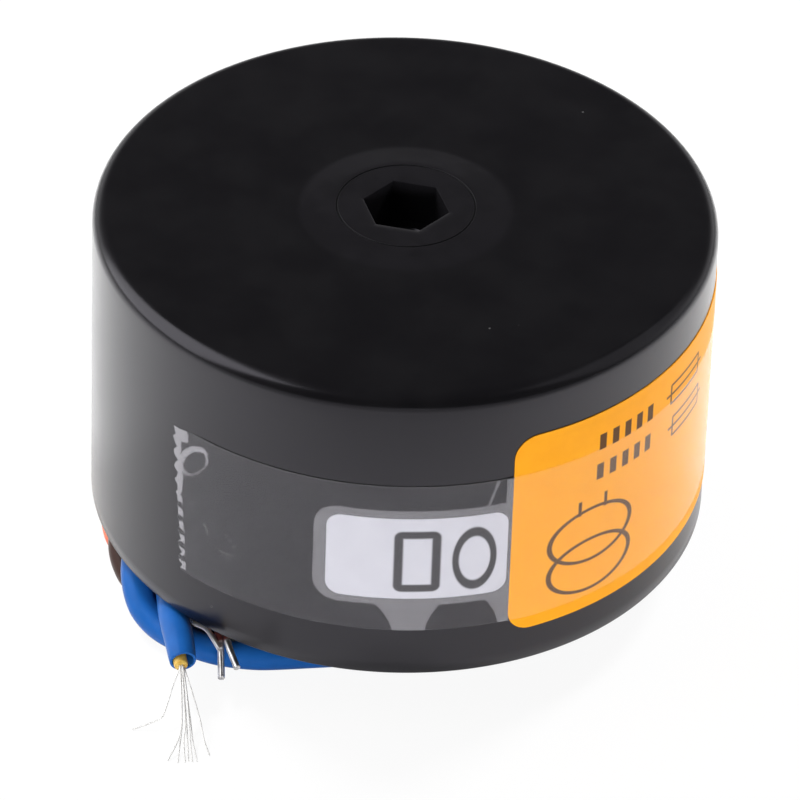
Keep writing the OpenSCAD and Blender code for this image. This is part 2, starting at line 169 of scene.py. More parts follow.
# Floor: its grey before the cup, darker there as painted shade for the cup's wall to mirror, and its
# grey beyond;
# and the shares of plain white that the eye and a glossy surface see in it
FLOOR_PAINTED_SHADE = 0.5
FLOOR_FAR = 0.9
FLOOR_WHITE = 0.93
FLOOR_MIRRORED = 0.16

# Places in metres: how far the floor reaches and where its painted shade fades out,
# and where the spots behind the cup stand and aim
FLOOR_REACH = 6
FLOOR_CHANGE = (-0.1, -0.055)
WASH_PLACE = (0.35, 0.3, 0.5)
WASH_AIM = (0.11, 0.05)
WASH_SOFT = 0.08
WASH_CONE = 32
WASH_POWER = 26

# Leads
PRIMARY_D = 3.2
SLEEVE_BORE = 2.2
SLEEVE_DRAWN_IN = 0.18
SLEEVE_NECK = 5
MOUTH_DEPTH = 2.4
INNER_WIRE_D = 1.5
INNER_WIRE_OUT = 0.7
WIRE_LEAN = 0.3
SECONDARY_D = 1.9
SECONDARY_WIRE_D = 0.75
TINNED_D = 0.6
STRAND_D = 0.14
STRAIGHT_OUT = 0.4
RESIN_RECESS = 2

# Routes of the leads: [azimuth, distance inside the cup's wall, drop below the rim]
BLUE_ROUTE = [
    [-112, 13, -4.3], [-104, 11.6, -3.8], [-96, 10, -2.8], [-89, 8.5, -1.7], [-82, 7, -0.8],
    [-75, 5.4, 0.1], [-70, 4, 0.8], [-65, 2.6, 1.5], [-60, 1.2, 2.5], [-55, 0.5, 4.1], [-50, 0.8, 5.1],
    [-44, 1.5, 5.2], [-37, 2.6, 5.2], [-29, 4.6, 5.2], [-19, 7.4, 5.2], [-3, 9.8, 5.2], [20, 10, 5.1],
    [45, 8.8, 3.8], [70, 6.6, 2.1], [95, 4.4, 1.75], [120, 3.6, 1.75], [145, 3.6, 1.75],
    [170, 3.6, 1.75], [195, 4, 1.8], [220, 6.2, 2.4], [245, 8, 2.9], [270, 8.4, 3.1], [285, 7.6, 3],
    [294, 6.3, 2.7], [303, 4.2, 1.8], [309, 2.6, 1.7], [313, 1.1, 1.7], [319.5, -1.5, 2],
    [323.6, -3.7, 2.4]]
BROWN_ROUTE = [
    [-134, 8.4, -4.3], [-126, 8.2, -3.6], [-118, 7.8, -2.6], [-110, 7.1, -1.7], [-103, 6.4, -0.9],
    [-96, 5.6, -0.1], [-89, 4.7, 0.7], [-82, 3.7, 1.7], [-76, 2.8, 2.6], [-71, 2.1, 3.7],
    [-66, 2.2, 4.9], [-61, 3, 5.2], [-55, 4, 5.2], [-48, 5, 5.2], [-40, 6.1, 5.2], [-30, 8.3, 5.2],
    [-19, 11.2, 5.2], [-3, 13.3, 5.2], [20, 13.4, 5.2], [45, 12.4, 5.2], [70, 8.8, 5.2],
    [95, 4.8, 5.2], [120, 3.6, 5.2], [145, 3.6, 5.2], [170, 3.8, 5.2], [195, 4.8, 5.2],
    [220, 8.2, 5.2], [245, 10.8, 5.2], [270, 11.6, 5.1], [285, 11.2, 3.9], [298, 9.4, 2.1],
    [306, 7.6, 1.7], [313, 5.3, 1.7]]
ORANGE_ROUTE = [
    [-140, 5.6, -4], [-132, 5.6, -3.3], [-124, 5.5, -2.2], [-116, 5.2, -1], [-107, 4.6, 0.4],
    [-98, 3.6, 1.7], [-90, 2.5, 2.7], [-84, 1.8, 3.6], [-79, 1.8, 4.8], [-74, 2.9, 5.8],
    [-69, 4.8, 5.85], [-63, 6, 5.85], [-55, 7.4, 5.85], [-40, 9.4, 5.85], [-30, 11.7, 5.85],
    [-19, 14.6, 5.85], [-3, 16.4, 5.85], [20, 16.4, 5.85], [45, 15.4, 5.85], [70, 11.8, 5.85],
    [95, 7.7, 5.85], [120, 6.3, 5.85], [145, 6.3, 5.85], [170, 6.5, 5.85], [195, 7.7, 5.85],
    [220, 11.2, 5.85], [245, 13.8, 5.85], [270, 14.4, 5.85], [290, 13.4, 5.3], [303, 11, 3.5],
    [312, 9.1, 2.7], [317, 7, 2.5], [319.7, 4.4, 2.5]]
YELLOW_ROUTE = [
    [-152, 3.7, -4], [-144, 3.7, -3.1], [-136, 3.7, -1.8], [-127, 3.7, -0.2], [-118, 3.4, 1.4],
    [-108, 2.8, 3.2], [-98, 2, 4.6], [-91, 1.7, 5.4], [-85, 2.4, 5.85], [-79, 4, 5.85],
    [-72, 6.2, 5.85], [-65, 8.2, 5.85], [-55, 10.2, 5.85], [-40, 12.2, 5.85], [-30, 14.5, 5.85],
    [-19, 17.2, 5.85], [-3, 18.9, 5.85], [20, 18.9, 5.85], [45, 17.9, 5.85], [70, 14.6, 5.85],
    [95, 10.4, 5.85], [120, 8.5, 5.85], [145, 8.5, 5.85], [170, 8.7, 5.85], [195, 10.2, 5.85],
    [220, 13.8, 5.85], [245, 16.2, 5.85], [270, 16.8, 5.85], [290, 15.6, 5.3], [308, 13, 3.6],
    [317, 10.5, 2.4], [321, 8, 2.3], [323.5, 5.3, 2.3]]
# Bare ends of the wires: each starts at the end of its sleeve
BROWN_END = [[315, 3.5, 2.1], [317.4, 1.9, 2.5], [320.8, 2, 2.5], [326.2, 0.6, 2.8]]
ORANGE_END = [[322.5, 2.8, 2.7], [325.6, 1.2, 3], [329.4, -1.8, 4.2]]
YELLOW_END = [[324.8, 3.8, 2.2], [326.2, 1.8, 2.1], [331.6, -0.8, 2.9]]
# Strands of the blue lead: where each leaves the end of its wire as [right, up],
# then its points from the middle of that end as [right, forwards, down]
STRAND_STARTS = [
    [-0.26, 0], [-0.18, 0.18], [-0.1, -0.14], [0, 0.08], [0.1, -0.12], [0.08, 0.24],
    [0.2, 0.06], [0.34, -0.12]]
STRAND_ENDS = [
    [[-0.8, 1.9, 1.2], [-1.5, 4.2, 2.7], [-2.2, 4.8, 3.4], [-4.8, 5.4, 4.3]],
    [[0.15, 2.9, 1.05], [0.35, 6, 2.75], [0.1, 7.9, 3.4], [-0.85, 10.1, 4.3]],
    [[0.2, 2.9, 1.35], [0.4, 6, 3.05], [0.3, 8, 3.7], [0.2, 10.4, 4.3]],
    [[0.4, 2.9, 1.1], [0.75, 6, 2.8], [0.7, 8, 3.5], [0.95, 10.3, 4.3]],
    [[0.5, 2.9, 1.4], [0.9, 6, 3.1], [1.1, 8, 3.75], [1.3, 10.1, 4.3]],
    [[0.7, 2.9, 0.95], [1.15, 6, 2.7], [1.35, 7.8, 3.4], [1.7, 10.2, 4.3]],
    [[0.75, 2.9, 1.2], [1.35, 6, 2.95], [1.65, 7.9, 3.6], [2.2, 10.1, 4.3]],
    [[1.3, 2.8, 1.1], [2.3, 5.6, 2.6], [2.8, 7.6, 3.5], [3.45, 9.1, 4.3]]]


# Shader arithmetic

class Field:
    """A node's output, as a value over the surface that takes part in Python arithmetic."""

    def __init__(self, finish, output):
        self.finish = finish
        self.output = output

    def worked(self, operation, *others):
        inputs = dict(enumerate([self, *others]))
        return self.finish.node("ShaderNodeMath", {"operation": operation}, inputs)

    def __add__(self, other):
        return self.worked("ADD", other)

    def __sub__(self, other):
        return self.worked("SUBTRACT", other)

    def __rsub__(self, other):
        return self * -1 + other

    def __mul__(self, other):
        return self.worked("MULTIPLY", other)

    def __truediv__(self, other):
        return self.worked("DIVIDE", other)

    def __pow__(self, other):
        return self.worked("POWER", other)

    def __abs__(self):
        return self.worked("ABSOLUTE")

    __radd__ = __add__
    __rmul__ = __mul__

    def larger(self, other):
        return self.worked("MAXIMUM", other)

    def smaller(self, other):
        return self.worked("MINIMUM", other)

    def rise(self, low, high):
        """0 below low, 1 above high and a smooth climb between."""
        ends = {"Value": self, "From Min": low, "From Max": high}
        return self.finish.node("ShaderNodeMapRange", {"interpolation_type": "SMOOTHSTEP"}, ends)


class Finish:
    """One material: a Principled shader, its constants, and the nodes that vary it."""

    def __init__(self, name, **constants):
        self.material = bpy.data.materials.new(name)
        self.material.use_nodes = True
        self.tree = self.material.node_tree
        self.shader = self.tree.nodes["Principled BSDF"]
        for key, value in constants.items():
            self.shader.inputs[key.replace("_", " ")].default_value = value

    def plug(self, socket, value):
        if isinstance(value, Field):
            self.tree.links.new(value.output, socket)
        else:
            socket.default_value = value

    def node(self, kind, settings=None, inputs=None, output=0):
        """Makes any node: its settings first, then the values or links of its sockets."""
        made = self.tree.nodes.new(kind)
        for key, value in (settings or {}).items():
            setattr(made, key, value)
        for key, value in (inputs or {}).items():
            self.plug(made.inputs[key], value)
        return Field(self, made.outputs[output])

    def vary(self, socket, field):
        self.plug(self.shader.inputs[socket], field)

    def blend(self, share, first, second):
        """The first colour where share is 0, and the second where it is 1."""
        inputs = {0: share, 6: first, 7: second}
        return self.node("ShaderNodeMix", {"data_type": "RGBA"}, inputs, output=2)

    def place(self):
        return self.node("ShaderNodeTexCoord", output="Object")

    def lay(self):
        """The lay of a sheet, along and across it, or of a wire, along it, in millimetres."""
        return self.node("ShaderNodeAttribute", {"attribute_name": "lay"}, output="Vector")

    def axes(self, vector):
        return [self.node("ShaderNodeSeparateXYZ", None, {0: vector}, output=i) for i in range(3)]

    def noise(self, vector, scale, detail=2.0, roughness=0.5):
        inputs = {"Vector": vector, "Scale": scale, "Detail": detail, "Roughness": roughness}
        return self.node("ShaderNodeTexNoise", None, inputs)

    def specks(self, vector, scale, size, share):
        """Small round spots of that size, in a share of the cells of a scattered grid."""
        cells = {"Vector": vector, "Scale": scale}
        distance = self.node("ShaderNodeTexVoronoi", None, cells, output="Distance")
        colour = self.node("ShaderNodeTexVoronoi", None, cells, output="Color")
        chance = self.axes(colour)[0]
        return (1 - distance.rise(0.5 * size, size)) * chance.rise(1 - share, 1 - share + 0.01)

    def laps(self, count):
        """A value that climbs from 0 to 1 in each of some laps round the bolt."""
        x, y, _ = self.axes(self.place())
        return (y.worked("ARCTAN2", x) * (count / (2 * math.pi))).worked("FRACT")

    def bump(self, height, depth, strength=1.0):
        inputs = {"Height": height, "Strength": strength, "Distance": depth * MM}
        self.vary("Normal", self.node("ShaderNodeBump", None, inputs))


class Sky(Finish):
    """The world round the floor, varied by the same nodes."""

    def __init__(self, name):
        self.material = bpy.data.worlds.new(name)
        self.material.use_nodes = True
        self.tree = self.material.node_tree
        self.shader = self.tree.nodes["Background"]


def grey(level, warmth=0.0):
    return (level * (1 + warmth), level, level * (1 - warmth), 1)


def inside(distance, soft=0.05):
    """1 where a distance is below 0, and 0 where it is above."""
    return 1 - distance.rise(-soft, soft)


# Plain shapes that serve the meshes and the print alike

def larger(a, b):
    return a.larger(b) if isinstance(a, Field) else np.maximum(a, b)


def smaller(a, b):
    return a.smaller(b) if isinstance(a, Field) else np.minimum(a, b)


def off_box(u, v, left, low, width, height, corner):
    """Distance outside a rectangle with round corners, and below 0 inside it."""
    across = abs(u - (left + width / 2)) - (width / 2 - corner)
    up = abs(v - (low + height / 2)) - (height / 2 - corner)
    outside = (larger(across, 0) ** 2 + larger(up, 0) ** 2) ** 0.5
    return outside + smaller(larger(across, up), 0) - corner


def wall_r(z):
    """Outside radius of the cup's wall at a height."""
    return CASE_R + (RIM_R - CASE_R) * (SHOULDER_Z - z) / (SHOULDER_Z - RIM_Z)


# Meshes

def grid_faces(rows, columns, round_rows=False, round_columns=False):
    """Quads between the points of a grid that is listed row by row."""
    faces = []
    for r in range(rows if round_rows else rows - 1):
        for c in range(columns if round_columns else columns - 1):
            up, right = (r + 1) % rows, (c + 1) % columns
            faces.append((r * columns + c, r * columns + right, up * columns + right, up * columns + c))
    return faces


def add_piece(name, points, faces, finish, node, lay=None, sharp=35):
    """A mesh that replaces a CAD node and rides on the transformer."""
    mesh = bpy.data.meshes.new(name)
    mesh.from_pydata(np.asarray(points) * MM, [], faces)
    work = bmesh.new()
    work.from_mesh(mesh)
    bmesh.ops.recalc_face_normals(work, faces=work.faces)
    work.to_mesh(mesh)
    work.free()
    mesh.shade_smooth()
    mesh.set_sharp_from_angle(angle=math.radians(sharp))
    if lay is not None:
        mesh.attributes.new("lay", "FLOAT_VECTOR", "POINT").data.foreach_set("vector", np.ravel(lay))
    mesh.materials.append(finish.material)
    piece = bpy.data.objects.new(name, mesh)
    bpy.context.scene.collection.objects.link(piece)
    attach(piece, BODY)
    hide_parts(node)
    return piece


# Camera

def add_camera():
    elevation = math.radians(EYE_ELEVATION)
    eye = MM * EYE_DISTANCE * Vector((0, -math.cos(elevation), math.sin(elevation)))
    look = MM * Vector(EYE_AIM) - eye
    level = look.to_track_quat("-Z", "Y").to_matrix()
    rolled = level @ Matrix.Rotation(math.radians(EYE_ROLL), 3, "Z")
    data = bpy.data.cameras.new("camera")
    data.lens = LENS
    data.sensor_width = SENSOR
    camera = bpy.data.objects.new("camera", data)
    camera.matrix_world = Matrix.Translation(eye) @ rolled.to_4x4()
    bpy.context.scene.collection.objects.link(camera)
    bpy.context.scene.camera = camera


# Leads

def unit(vectors):
    return vectors / np.linalg.norm(vectors, axis=-1, keepdims=True)


def finer(line):
    """A line with a point put in half way along each of its steps, on a smooth curve."""
    ends = np.vstack([2 * line[0] - line[1], line, 2 * line[-1] - line[-2]])
    middles = (9 * (ends[1:-2] + ends[2:-1]) - ends[:-3] - ends[3:]) / 16
    made = np.empty((2 * len(line) - 1, 3))
    made[0::2] = line
    made[1::2] = middles
    return made


def smoothed(line, passes):
    line = np.array(line, float)
    for _ in range(passes):
        line = finer(line)
    return line


def route_points(route, passes=3):
    route = smoothed(route, passes)
    azimuth, r = np.radians(route[:, 0]), CASE_R - route[:, 1]
    return np.column_stack([r * np.sin(azimuth), -r * np.cos(azimuth), RIM_Z - route[:, 2]])


def bearings(path):
    """Direction, left and up of a path at each of its points."""
    along = unit(np.gradient(path, axis=0))
    left = unit(np.cross(along, (0, 0, 1)))
    return along, left, np.cross(left, along)


def rings(centres, left, up, radii, sides):
    turn = np.radians(360 * np.arange(sides) / sides)
    around = np.cos(turn)[:, None] * left[:, None] + np.sin(turn)[:, None] * up[:, None]
    return centres[:, None] + np.reshape(radii, (-1, 1, 1)) * around


def loft(made):
    """Points, faces and lay of a closed tube through rings of points: its length from the start."""
    count, sides = made.shape[:2]
    points = made.reshape(-1, 3)
    faces = grid_faces(count, sides, round_columns=True)
    faces += [tuple(range(sides)), tuple(range((count - 1) * sides, count * sides))]
    steps = np.linalg.norm(np.diff(made.mean(1), axis=0), axis=1)
    along = np.repeat(np.concatenate([[0], np.cumsum(steps)]), sides)
    return points, faces, np.column_stack([along, np.zeros((len(along), 2))])


def tube(path, diameter, sides):
    _, left, up = bearings(path)
    return loft(rings(path, left, up, np.full(len(path), diameter / 2), sides))


def end_of(path):
    """Last point of a path, with its direction, left and up there."""
    return [values[-1] for values in (path, *bearings(path))]


def turned_end(path, profile, sides, lean=0.0):
    """Rings about the end of a path, from a profile of [distance out of the end, radius]."""
    tip, along, left, up = end_of(path)
    profile = np.array(profile)
    centres = tip + lean * left + profile[:, :1] * along
    same = np.ones((len(profile), 1))
    return rings(centres, same * left, same * up, profile[:, 1], sides)


def to_go(path):
    """Length from each point of a path to its end."""
    steps = np.linalg.norm(np.diff(path, axis=0), axis=1)
    return np.append(np.cumsum(steps[::-1])[::-1], 0)


def body_rings(path, radii, sides):
    """Rings at all the points of a path but its last."""
    _, left, up = bearings(path)
    return rings(path[:-1], left[:-1], up[:-1], radii, sides)


def open_sleeve(path, sides=28):
    """A sleeve whose end draws in a little, is cut square and shows its bore."""
    radii = PRIMARY_D / 2 - SLEEVE_DRAWN_IN * np.clip(1 - to_go(path) / SLEEVE_NECK, 0, 1) ** 2
    outer, bore, edge = radii[-1], SLEEVE_BORE / 2, 0.1
    mouth = [
        [-0.3, outer], [-edge, outer], [-0.3 * edge, outer - 0.3 * edge], [0, outer - edge],
        [0, bore + 0.5 * edge], [-edge, bore], [-MOUTH_DEPTH, bore]]
    body = body_rings(path, radii[:-1], sides)
    return loft(np.concatenate([body, turned_end(path, mouth, sides)]))


def closed_sleeve(path, sides=24):
    """A thin sleeve shrunk on its wire, its end rounded."""
    outer, edge = SECONDARY_D / 2, 0.16
    tip = [[-edge, outer], [-0.4 * edge, outer - 0.3 * edge], [0, outer - edge]]
    body = body_rings(path, np.full(len(path) - 1, outer), sides)
    return loft(np.concatenate([body, turned_end(path, tip, sides)]))


def inner_wire(path, sides=20):
    """The insulated wire in a sleeve's mouth, its end cut a little round."""
    outer, out = INNER_WIRE_D / 2, INNER_WIRE_OUT
    profile = [
        [-MOUTH_DEPTH, outer], [out - 0.25, outer], [out - 0.1, 0.95 * outer],
        [out - 0.03, 0.86 * outer], [out, 0.7 * outer], [out, 0.5 * outer]]
    return loft(turned_end(path, profile, sides, WIRE_LEAN))


def wire_tip(path):
    tip, along, left, _ = end_of(path)
    return tip + WIRE_LEAN * left + INNER_WIRE_OUT * along


def bare_wire(path, start, ends, diameter, sides=12):
    """A bare wire that runs straight out of its sleeve and then through some points."""
    along = end_of(path)[1]
    line = np.vstack([start, start + STRAIGHT_OUT * along, route_points(ends, passes=0)])
    return tube(smoothed(line, passes=3), diameter, sides)


def joined(parts):
    """One mesh of several closed shapes."""
    points, faces, lays = [], [], []
    for some_points, some_faces, lay in parts:
        start = sum(map(len, points))
        points.append(some_points)
        faces += [tuple(start + k for k in face) for face in some_faces]
        lays.append(lay)
    return np.vstack(points), faces, np.vstack(lays)


def strand_fan(path):
    tip = wire_tip(path)
    _, along, left, up = end_of(path)
    strands = []
    for (right, above), ends in zip(STRAND_STARTS, STRAND_ENDS):
        start = tip - right * left + above * up
        line = [start, start + STRAIGHT_OUT * along, *(tip + [x, -y, -z] for x, y, z in ends)]
        strands.append(tube(smoothed(line, passes=3), STRAND_D, sides=8))
    return joined(strands)


def out_of_resin(path):
    """The point where a lead leaves the resin, in metres."""
    return MM * path[np.argmax(path[:, 2] < RIM_Z + RESIN_RECESS)]


def add_lead(colour, path, shape, finish):
    points, faces, lay = shape(path)
    sleeve = colour + "_sleeve"
    piece = add_piece(sleeve, points, faces, finish, colour + "_lead", lay)
    out_of_resin(path)
    MM * path


def sleeve_finish(name, colour, deep):
    """Soft sleeving, a little uneven in colour and gloss along its length."""
    finish = Finish(name, IOR=1.45, Specular_IOR_Level=0.16)
    place = finish.place()
    cloud = finish.noise(place, scale=400, detail=3)
    finish.vary("Base Color", finish.blend(cloud.rise(0.3, 0.7), deep, colour))
    finish.vary("Roughness", 0.25 + 0.1 * cloud)
    finish.bump(finish.noise(place, scale=700, detail=2), depth=0.02, strength=0.4)
    return finish


def inner_wire_finish():
    finish = Finish("wire insulation", IOR=1.5)
    place = finish.place()
    cloud = finish.noise(place, scale=1800, detail=2)
    deep, colour = (0.55, 0.32, 0.05, 1), (0.68, 0.46, 0.1, 1)
    finish.vary("Base Color", finish.blend(cloud.rise(0.3, 0.7), deep, colour))
    finish.vary("Roughness", 0.4 + 0.2 * cloud)
    finish.bump(finish.noise(place, scale=5000, detail=2), depth=0.02, strength=0.6)
    return finish


def strand_finish():
    """Bare strands, bright where the light catches them."""
    finish = Finish("bare strands", Metallic=0.4)
    along = finish.noise(finish.place(), scale=2500, detail=2)
    finish.vary("Base Color", finish.blend(along, (0.58, 0.57, 0.56, 1), (0.92, 0.91, 0.89, 1)))
    finish.vary("Roughness", 0.3 + 0.2 * along)
    return finish


def wire_end_finish(name, enamelled, metal):
    """Wire that is enamelled over some length, and then turns to tin."""
    finish = Finish(name)
    along = finish.axes(finish.lay())[0]
    patchy = finish.noise(finish.place(), scale=500, detail=2)
    tinned = (along + 1.6 * (patchy - 0.5)).rise(enamelled - 0.3, enamelled + 0.3)
    tin = finish.blend(patchy.rise(0.35, 0.65), (0.5, 0.49, 0.49, 1), (0.9, 0.88, 0.88, 1))
    enamel = finish.blend(patchy, (0.08, 0.018, 0.014, 1), (0.16, 0.04, 0.035, 1))
    finish.vary("Base Color", finish.blend(tinned, enamel, tin))
    finish.vary("Metallic", metal * tinned)
    finish.vary("Roughness", 0.22 + 0.15 * patchy)
    finish.bump(patchy, depth=0.04, strength=0.7)
    return finish


def add_leads():
    routes = BLUE_ROUTE, BROWN_ROUTE, ORANGE_ROUTE, YELLOW_ROUTE
    blue, brown, orange, yellow = map(route_points, routes)
    wire, strand = inner_wire_finish(), strand_finish()
    tinned = wire_end_finish("tinned wire", enamelled=0.6, metal=0.75)
    winding_end = wire_end_finish("enamelled wire", enamelled=4.3, metal=0.95)

    def add(name, shape, finish, node):
        points, faces, lay = shape
        return add_piece(name, points, faces, finish, node, lay)

    blue_core = add("blue_inner_wire", inner_wire(blue), wire, "blue_core")
    fan = add("blue_strand_fan", strand_fan(blue), strand, "blue_strands")
    brown_core = add("brown_inner_wire", inner_wire(brown), wire, "brown_core")
    brown_shape = bare_wire(brown, wire_tip(brown), BROWN_END, TINNED_D)
    brown_wire = add("brown_wire_end", brown_shape, tinned, "brown_conductor")
    orange_shape = bare_wire(orange, orange[-1], ORANGE_END, SECONDARY_WIRE_D)
    orange_wire = add("orange_wire_end", orange_shape, winding_end, "orange_conductor")
    yellow_shape = bare_wire(yellow, yellow[-1], YELLOW_END, SECONDARY_WIRE_D)
    yellow_wire = add("yellow_wire_end", yellow_shape, winding_end, "yellow_conductor")

    blue_finish = sleeve_finish(
        "blue sleeve", colour=(0.012, 0.1, 0.36, 1), deep=(0.01, 0.088, 0.32, 1))
    brown_finish = sleeve_finish(
        "brown sleeve", colour=(0.05, 0.026, 0.021, 1), deep=(0.036, 0.018, 0.014, 1))
    orange_finish = sleeve_finish(
        "orange sleeve", colour=(0.75, 0.2, 0.12, 1), deep=(0.6, 0.14, 0.08, 1))
    yellow_finish = sleeve_finish(
        "yellow sleeve", colour=(0.72, 0.5, 0.09, 1), deep=(0.58, 0.36, 0.05, 1))
    add_lead("blue", blue, open_sleeve, blue_finish)
    add_lead("brown", brown, open_sleeve, brown_finish)
    add_lead("orange", orange, closed_sleeve, orange_finish)
    add_lead("yellow", yellow, closed_sleeve, yellow_finish)


# Cup

def bend(centre_r, centre_z, radius, start, end, steps):
    """Points of an arc of the cup's section, its angles in degrees from outwards to upwards."""
    turn = np.radians(np.linspace(start, end, steps + 1))
    return [[centre_r + radius * c, centre_z + radius * s] for c, s in zip(np.cos(turn), np.sin(turn))]


def span(first, last, steps):
    """Points evenly between two, without the first."""
    return [list(p) for p in np.linspace(first, last, steps + 1)[1:]]


def rounded_climb(t, ends=0.15):
    """A straight climb from 0 to 1 with its two ends rounded."""
    start, stop = max(ends - t, 0), max(t - 1 + ends, 0)
    return (t - ends / 2 + (start ** 2 - stop ** 2) / (2 * ends)) / (1 - ends)


def cup_outside():
    """Section from the rim up the wall and over the closed face to the boss, as [radius, height]."""
    low = RIM_Z + RIM_CHAMFER
    middle = [RIM_R - 0.4 * RIM_CHAMFER, RIM_Z + RIM_CHAMFER / 3]
    rim = [[RIM_R - RIM_CHAMFER, RIM_Z], middle, [wall_r(low), low]]
    wall = span([wall_r(low), low], [CASE_R, SHOULDER_Z], steps=24)
    edge = bend(CASE_R - EDGE_R, SHOULDER_Z, EDGE_R, start=0, end=90, steps=14)[1:]
    foot = BOSS_FOOT_R + BOSS_BLEND
    face = span([CASE_R - EDGE_R, FACE_Z], [foot, FACE_Z], steps=12)
    boss = [[foot - t * (foot - BOSS_TOP_R), FACE_Z + BOSS_H * rounded_climb(t)]
            for t in np.linspace(0, 1, 21)[1:]]
    half, bottom = BOSS_LINE_W / 2, BOSS_Z - BOSS_LINE_DEPTH
    line = [[BOSS_LINE_R + half, BOSS_Z], [BOSS_LINE_R + 0.2 * half, bottom],
            [BOSS_LINE_R - 0.2 * half, bottom], [BOSS_LINE_R - half, BOSS_Z]]
    return rim + wall + edge + face + boss + line


def cup_inside():
    """Section from the bolt hole down its column, over the ceiling and down the wall to the rim."""
    low = RIM_Z + ARRIS
    bore = [[BOLT_R, BOSS_Z - HEX_DEPTH - ARRIS], [BOLT_R, low], [BOLT_R + ARRIS, RIM_Z]]
    column = [[COLUMN_FOOT_R - ARRIS, RIM_Z], [COLUMN_FOOT_R, low]]
    column += span([COLUMN_FOOT_R, low], [COLUMN_R, CEILING_Z], steps=4)
    ceiling = span([COLUMN_R, CEILING_Z], [CASE_R - WALL_T, CEILING_Z], steps=4)
    wall = span([CASE_R - WALL_T, CEILING_Z], [RIM_R - WALL_T, low], steps=6)
    return bore + column + ceiling + wall + [[RIM_R - WALL_T + ARRIS, RIM_Z]]


def cup_mesh():
    """The cup turned about the bolt, with the pocket's six flats on the same spokes."""
    spokes = 360 * np.arange(CUP_STEPS) / CUP_STEPS
    flat = HEX_FLATS / 2 / np.cos(np.radians((spokes - HEX_TURN) % 60 - 30))
    floor_z = BOSS_Z - HEX_DEPTH
    rows = [(np.full(CUP_STEPS, r), z) for r, z in cup_outside()]
    rows += [(flat + out, BOSS_Z + up) for out, up in HEX_LIP]
    rows += [(flat + out, floor_z + up) for out, up in HEX_FOOT]
    rows += [(np.full(CUP_STEPS, r), z) for r, z in [[BOLT_R + ARRIS, floor_z], *cup_inside()]]
    turn = np.radians(spokes)
    points = [np.column_stack([r * np.cos(turn), r * np.sin(turn), np.full(CUP_STEPS, z)])
              for r, z in rows]
    return np.vstack(points), grid_faces(len(rows), CUP_STEPS, round_rows=True, round_columns=True)


def cup_finish():
    """Black moulded plastic: satin, faintly clouded, a little dusty, the boss paler, and the groove of
    its line painted darker as shade.
    """
    finish = Finish("black moulding", IOR=1.5, Specular_Tint=(0.92, 0.89, 1, 1))
    place = finish.place()
    cloud = finish.noise(place, scale=120, detail=4, roughness=0.6)
    black = finish.blend(cloud.rise(0.3, 0.7), (0.0045, 0.0042, 0.005, 1), (0.0065, 0.0062, 0.007, 1))
    x, y, z = finish.axes(place)
    r = (x * x + y * y) ** 0.5 / MM
    on_top = z.rise(0.9 * MM * FACE_Z, MM * FACE_Z)
    patchy = finish.noise(place, scale=240, detail=3, roughness=0.6)
    on_boss = on_top * inside(r - BOSS_FOOT_R + 2.2 * (cloud - 0.5), 0.5)
    boss = on_boss * (0.55 + 0.45 * patchy.rise(0.4, 0.6))
    # Painted shade: the groove of the boss line gets a darker black than the face round it
    line = on_top * inside(abs(r - BOSS_LINE_R) - BOSS_LINE_W / 2)
    black = finish.blend(boss, black, (0.0082, 0.0077, 0.009, 1))
    black = finish.blend(line, black, grey(0.002))
    dust = finish.specks(place, 320, size=0.05, share=0.3)
    finish.vary("Base Color", finish.blend(0.5 * dust, black, grey(0.12)))
    finish.vary("Roughness", 0.2 + 0.06 * cloud + 0.03 * boss + 0.6 * line)
    finish.bump(finish.noise(place, scale=5200, detail=3, roughness=0.6), depth=0.02, strength=0.25)
    return finish


def add_cup():
    points, faces = cup_mesh()
    add_piece("moulded_cup", points, faces, cup_finish(), "housing", sharp=40)


# Labels and tape

def wall_points(azimuth, u, v, low, off):
    """Points on the wall, at lengths round it from an azimuth and heights above a low edge."""
    z = RIM_Z + low + v
    turn = math.radians(azimuth) + np.asarray(u) / CASE_R
    r = wall_r(z) + off
    return np.column_stack([r * np.sin(turn), -r * np.cos(turn), z])


def sheet_mesh(azimuth, u, v, low, under, over):
    """A thin closed sheet from a grid of places on the wall, with its two faces' heights off it."""
    rows, columns = u.shape
    lay = np.column_stack([u.ravel(), v.ravel(), np.zeros(u.size)])
    outer = wall_points(azimuth, u.ravel(), v.ravel(), low, over.ravel())
    inner = wall_points(azimuth, u.ravel(), v.ravel(), low, under.ravel())
    faces = grid_faces(rows, columns)
    back = [tuple(u.size + k for k in reversed(face)) for face in faces]
    index = np.arange(u.size).reshape(u.shape)
    edge = [*index[0], *index[1:, -1], *index[-1, -2::-1], *index[-2:0:-1, 0]]
    border = [(b, a, a + u.size, b + u.size) for a, b in zip(edge, edge[1:] + edge[:1])]
    return np.vstack([outer, inner]), faces + back + border, np.vstack([lay, lay])


def label_grid(length, height, corner):
    """Places over a label with round corners, in upright columns that are closer at its ends."""
    bend_u = corner * (1 - np.cos(np.linspace(0, math.pi / 2, LABEL_BEND_COLUMNS)))
    middle = np.linspace(corner, length - corner, int(LABEL_COLUMNS_PER_MM * length))[1:-1]
    u = np.concatenate([bend_u, middle, (length - bend_u)[::-1]])
    inwards = np.maximum(corner - np.minimum(u, length - u), 0)
    cut = corner - np.sqrt(np.maximum(corner ** 2 - inwards ** 2, 0))
    share = np.linspace(0, 1, LABEL_ROWS)[:, None]
    v = cut + share * (height - 2 * cut)
    return np.broadcast_to(u, v.shape).copy(), v


def add_label(name, azimuth, length, height, low, corner, finish, node):
    u, v = label_grid(length, height, corner)
    flat = np.zeros(u.shape)
    points, faces, lay = sheet_mesh(azimuth, u, v, low, flat, flat + LABEL_T)
    add_piece(name, points, faces, finish, node, lay)


def off_small_label(u, v):
    """Distance outside the white label, in the tape's lay."""
    return off_box(u, v, SMALL_LEFT, SMALL_LOW - TAPE_LOW, SMALL_L, SMALL_H, SMALL_CORNER)


